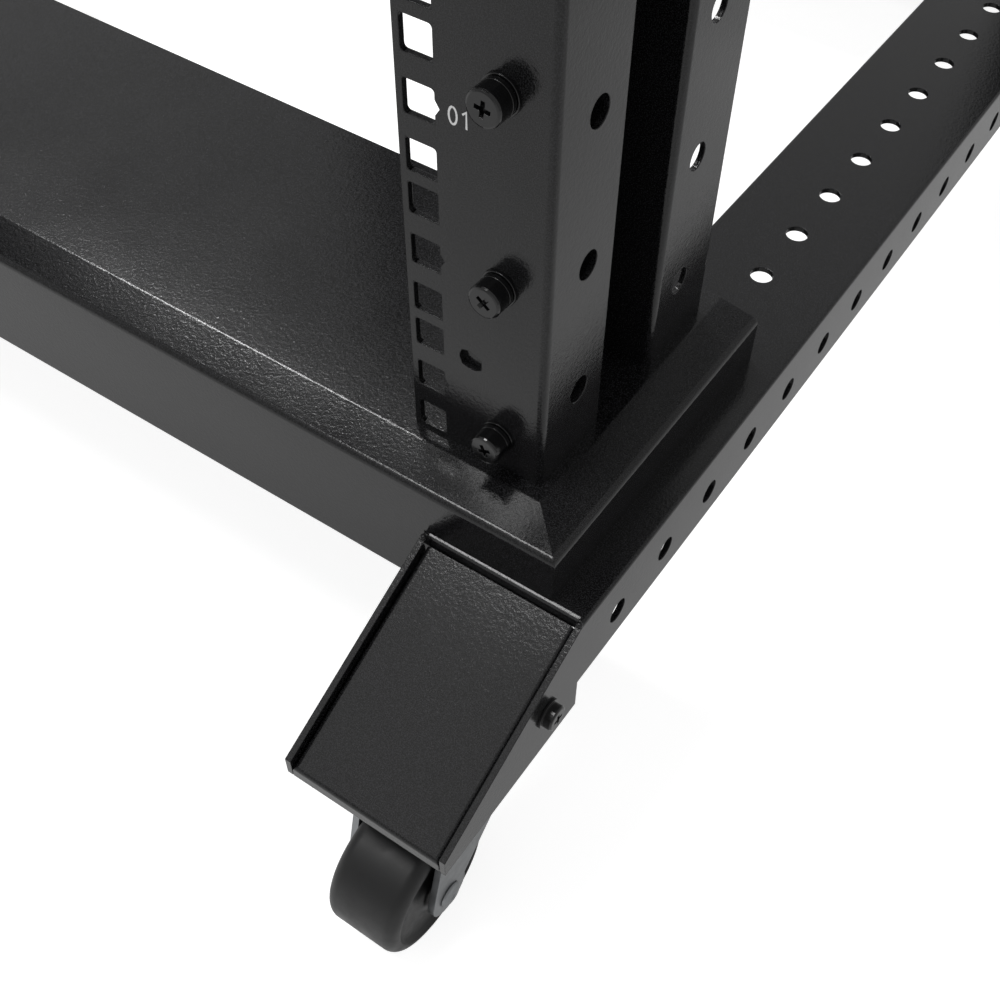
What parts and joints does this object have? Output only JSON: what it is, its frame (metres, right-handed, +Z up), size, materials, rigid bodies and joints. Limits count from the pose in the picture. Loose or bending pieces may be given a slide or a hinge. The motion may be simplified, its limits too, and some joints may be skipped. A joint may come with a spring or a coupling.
{
  "type": "four post open frame rack",
  "caption": "Open frame equipment rack: corner posts with square holes between a formed base and top, on side rails with sloping caster noses and swivel casters.",
  "frame": {"origin": "on the floor, at the centre of the rack's footprint", "axes": "+X to the right seen from the front, -Y towards the front, +Z up"},
  "size_m": [0.6, 0.8346, 1.0409],
  "materials": {
    "frame": "black powder coat, semi-gloss, fine texture",
    "zinc": "zinc plated, satin",
    "wheel": "matte black"
  },
  "bodies": {
    "rack": {"base_pan_front": "frame", "base_pan_rear": "frame", "base_rail_left": "frame", "base_rail_right": "frame", "top_pan_front": "frame", "top_pan_rear": "frame", "top_rail_left": "frame", "top_rail_right": "frame", "rack_angle_front_left": "frame", "rack_angle_rear_left": "frame", "rack_angle_front_right": "frame", "rack_angle_rear_right": "frame", "post_column_front_left": "frame", "post_column_rear_left": "frame", "post_column_front_right": "frame", "post_column_rear_right": "frame", "nose_cover_front_left": "frame", "nose_cover_rear_left": "frame", "nose_cover_front_right": "frame", "nose_cover_rear_right": "frame", "caster_bracket_front_left": "frame", "caster_bracket_rear_left": "frame", "caster_bracket_front_right": "frame", "caster_bracket_rear_right": "frame", "caster_plate_front_left": "zinc", "caster_plate_rear_left": "zinc", "caster_plate_front_right": "zinc", "caster_plate_rear_right": "zinc"},
    "fork_front_left": {"caster_fork_front_left": "zinc", "caster_axle_front_left": "zinc"},
    "wheel_front_left": {"caster_wheel_front_left": "wheel"},
    "fork_rear_left": {"caster_fork_rear_left": "zinc", "caster_axle_rear_left": "zinc"},
    "wheel_rear_left": {"caster_wheel_rear_left": "wheel"},
    "fork_front_right": {"caster_fork_front_right": "zinc", "caster_axle_front_right": "zinc"},
    "wheel_front_right": {"caster_wheel_front_right": "wheel"},
    "fork_rear_right": {"caster_fork_rear_right": "zinc", "caster_axle_rear_right": "zinc"},
    "wheel_rear_right": {"caster_wheel_rear_right": "wheel"}
  },
  "joints": [
    {"name": "swivel_front_left", "type": "hinge", "parent": "rack", "child": "fork_front_left", "pos_m": [-0.27125, -0.3699, 0.07], "axis": [0, 0, 1], "continuous": true},
    {"name": "roll_front_left", "type": "hinge", "parent": "fork_front_left", "child": "wheel_front_left", "pos_m": [-0.27125, -0.3919, 0.0254], "axis": [1, 0, 0], "continuous": true},
    {"name": "swivel_rear_left", "type": "hinge", "parent": "rack", "child": "fork_rear_left", "pos_m": [-0.27125, 0.3699, 0.07], "axis": [0, 0, 1], "continuous": true},
    {"name": "roll_rear_left", "type": "hinge", "parent": "fork_rear_left", "child": "wheel_rear_left", "pos_m": [-0.27125, 0.3919, 0.0254], "axis": [1, 0, 0], "continuous": true},
    {"name": "swivel_front_right", "type": "hinge", "parent": "rack", "child": "fork_front_right", "pos_m": [0.27125, -0.3699, 0.07], "axis": [0, 0, 1], "continuous": true},
    {"name": "roll_front_right", "type": "hinge", "parent": "fork_front_right", "child": "wheel_front_right", "pos_m": [0.27125, -0.3919, 0.0254], "axis": [1, 0, 0], "continuous": true},
    {"name": "swivel_rear_right", "type": "hinge", "parent": "rack", "child": "fork_rear_right", "pos_m": [0.27125, 0.3699, 0.07], "axis": [0, 0, 1], "continuous": true},
    {"name": "roll_rear_right", "type": "hinge", "parent": "fork_rear_right", "child": "wheel_rear_right", "pos_m": [0.27125, 0.3919, 0.0254], "axis": [1, 0, 0], "continuous": true}
  ]
}
